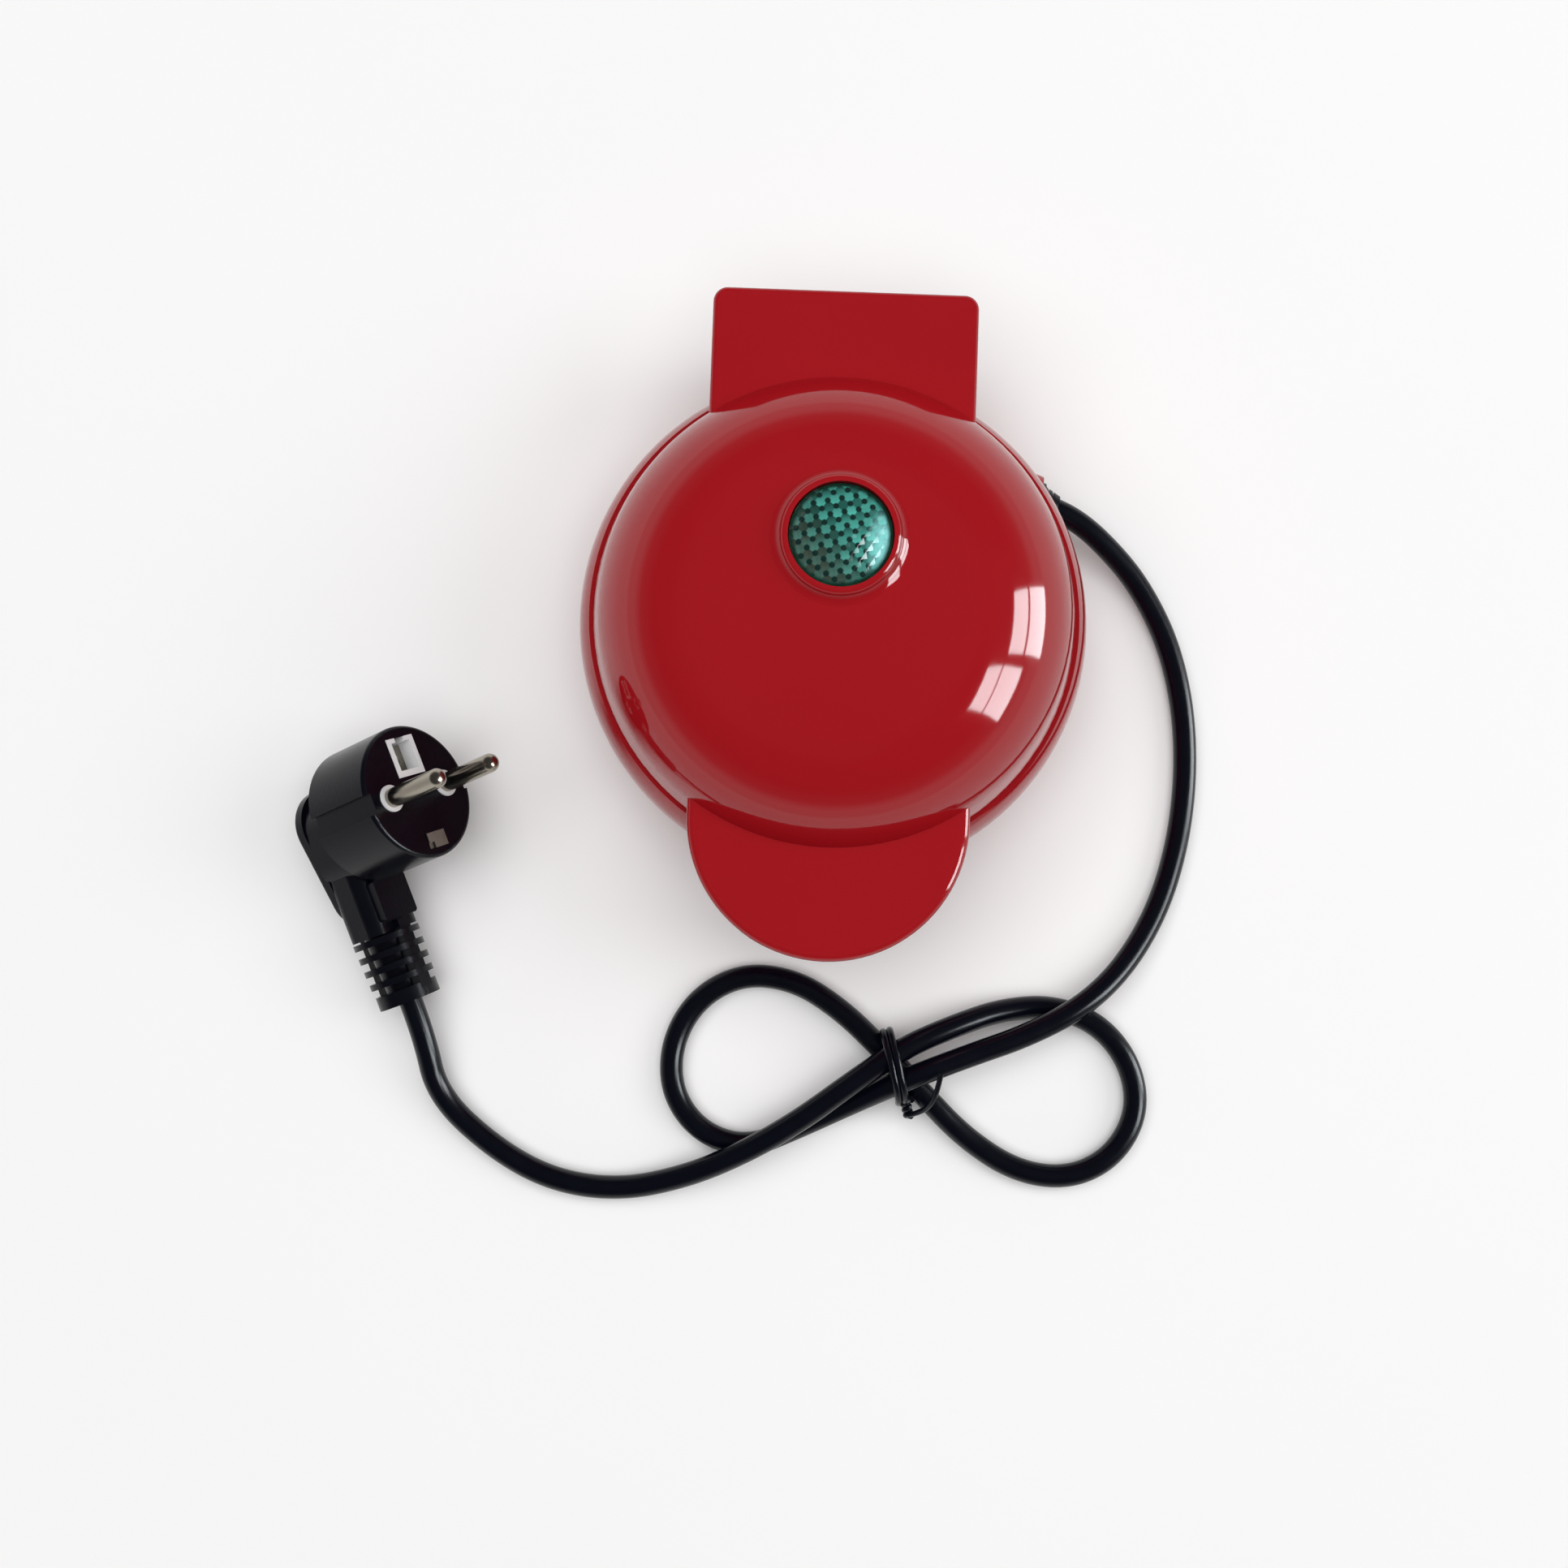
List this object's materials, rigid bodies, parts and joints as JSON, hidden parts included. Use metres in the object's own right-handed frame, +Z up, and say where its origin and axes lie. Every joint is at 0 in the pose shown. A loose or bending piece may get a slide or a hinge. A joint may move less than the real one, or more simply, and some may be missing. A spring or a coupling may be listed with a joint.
{
  "type": "mini contact grill",
  "caption": "Small red clam-shell contact grill with a domed lid on a rear hinge, green lens, ribbed round plates and a mains lead tied in a figure of eight with an angled two-pin plug.",
  "frame": {"origin": "under the middle of the housing's outline, on the table", "axes": "+Z up, +Y towards the hinge, +X towards the side where the lead comes out; the front handle tongue points to -Y"},
  "size_m": [0.2327, 0.2263, 0.0752],
  "materials": {
    "red_housing": "gloss",
    "black_housing": "satin",
    "cast_plate": "satin",
    "steel": "satin",
    "nickel": "gloss",
    "brass": "satin",
    "foot_rubber": "matte",
    "lead_rubber": "satin",
    "white_plastic": "matte",
    "green_lens": "gloss",
    "lamp_glass": "gloss"
  },
  "bodies": {
    "base": {"base_shell": "red_housing", "bottom_cover": "black_housing", "feet": "foot_rubber", "bottom_cover_screws": "steel", "lower_plate": "cast_plate", "lower_plate_screws": "steel", "lower_heater": "steel", "lower_heater_clamp": "steel", "lower_clamp_screws": "steel", "thermostat": "brass", "thermal_fuse": "white_plastic", "terminal_block": "white_plastic", "base_wiring": "white_plastic", "hinge_pins": "steel", "cord_bushing": "lead_rubber", "cord_clamp": "black_housing", "cord_clamp_screw": "steel", "cord_tail": "lead_rubber", "power_cord": "lead_rubber", "twist_tie": "lead_rubber", "plug_body": "lead_rubber", "plug_insert": "white_plastic", "plug_pins": "nickel", "plug_earth_contacts": "nickel"},
    "lid": {"lid_shell": "red_housing", "lid_liner": "black_housing", "liner_screws": "steel", "lens": "green_lens", "lens_retainer": "black_housing", "lamp_holder": "white_plastic", "neon_lamp": "lamp_glass", "lid_wiring": "white_plastic", "upper_plate": "cast_plate", "upper_plate_screws": "steel", "upper_heater": "steel", "upper_heater_clamp": "steel", "upper_clamp_screws": "steel"}
  },
  "joints": [
    {"name": "lid_hinge", "type": "hinge", "parent": "base", "child": "lid", "pos_m": [0, 0.0747, 0.0443], "axis": [-1, 0, 0], "range_deg": [0, 100]}
  ]
}
